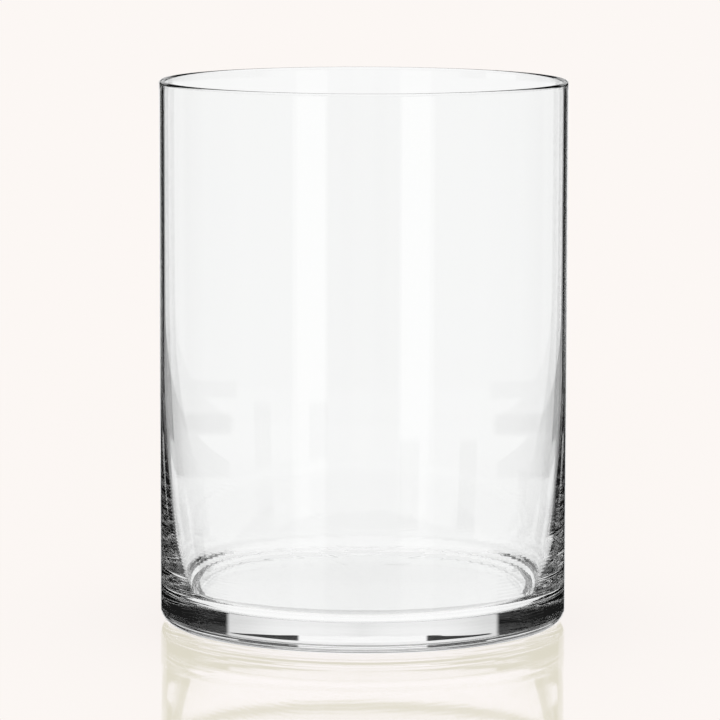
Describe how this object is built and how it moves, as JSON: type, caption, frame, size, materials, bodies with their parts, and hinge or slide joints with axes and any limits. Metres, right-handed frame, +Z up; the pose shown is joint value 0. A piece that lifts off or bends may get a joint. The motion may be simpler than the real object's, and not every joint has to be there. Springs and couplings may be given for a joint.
{
  "type": "glass cylinder vase",
  "caption": "Clear glass cylinder vase for cut flowers: straight sides, wide open mouth, rounded lip, wall that thickens downwards and a heavy glass base.",
  "frame": {"origin": "middle of the underside, on the surface that the vase stands on", "axes": "+Z up along the vase's axis, from the foot to the mouth; the vase is the same all round, so +X and +Y are any two level directions"},
  "size_m": [0.1524, 0.1524, 0.2032],
  "materials": {
    "clear_glass": "polished clear soda-lime glass, fire-polished lip"
  },
  "bodies": {
    "root": {"glass_vase": "clear_glass"}
  },
  "joints": []
}
